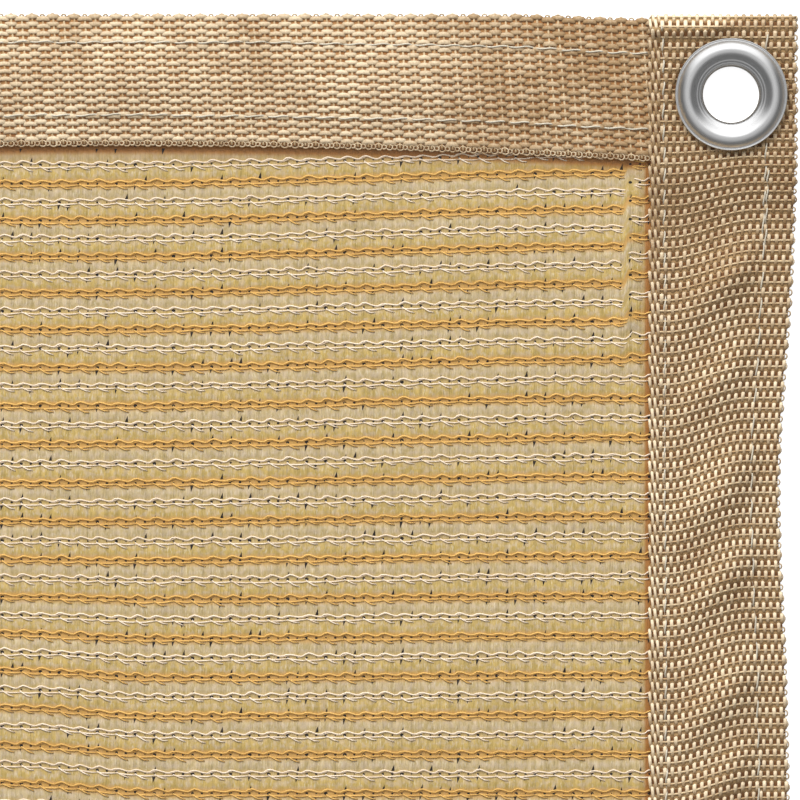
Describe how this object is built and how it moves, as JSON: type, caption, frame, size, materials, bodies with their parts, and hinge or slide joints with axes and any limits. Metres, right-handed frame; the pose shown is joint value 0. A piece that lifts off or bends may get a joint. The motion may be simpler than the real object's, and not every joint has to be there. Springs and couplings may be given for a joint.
{
  "type": "shade cloth",
  "caption": "Small knitted shade cloth, edged with woven tape on all sides, with a metal eyelet in each corner to hang or tie it.",
  "frame": {"origin": "middle of the cloth, on the surface that it lies on", "axes": "+X to the right of the cloth, +Y up the cloth, +Z out of its face"},
  "size_m": [0.3, 0.2988, 0.0061],
  "materials": {
    "knit": "matte yarn chains in gold and ivory over satin film tape",
    "tape": "coarse woven webbing with a soft sheen on its raised floats",
    "eyelet": "bright satin"
  },
  "bodies": {
    "root": {"shade_panel": "knit", "top_tape": "tape", "bottom_tape": "tape", "left_tape": "tape", "right_tape": "tape", "eyelet_top_right": "eyelet", "eyelet_top_left": "eyelet", "eyelet_bottom_left": "eyelet", "eyelet_bottom_right": "eyelet", "washer_top_right": "eyelet", "washer_top_left": "eyelet", "washer_bottom_left": "eyelet", "washer_bottom_right": "eyelet"}
  },
  "joints": []
}
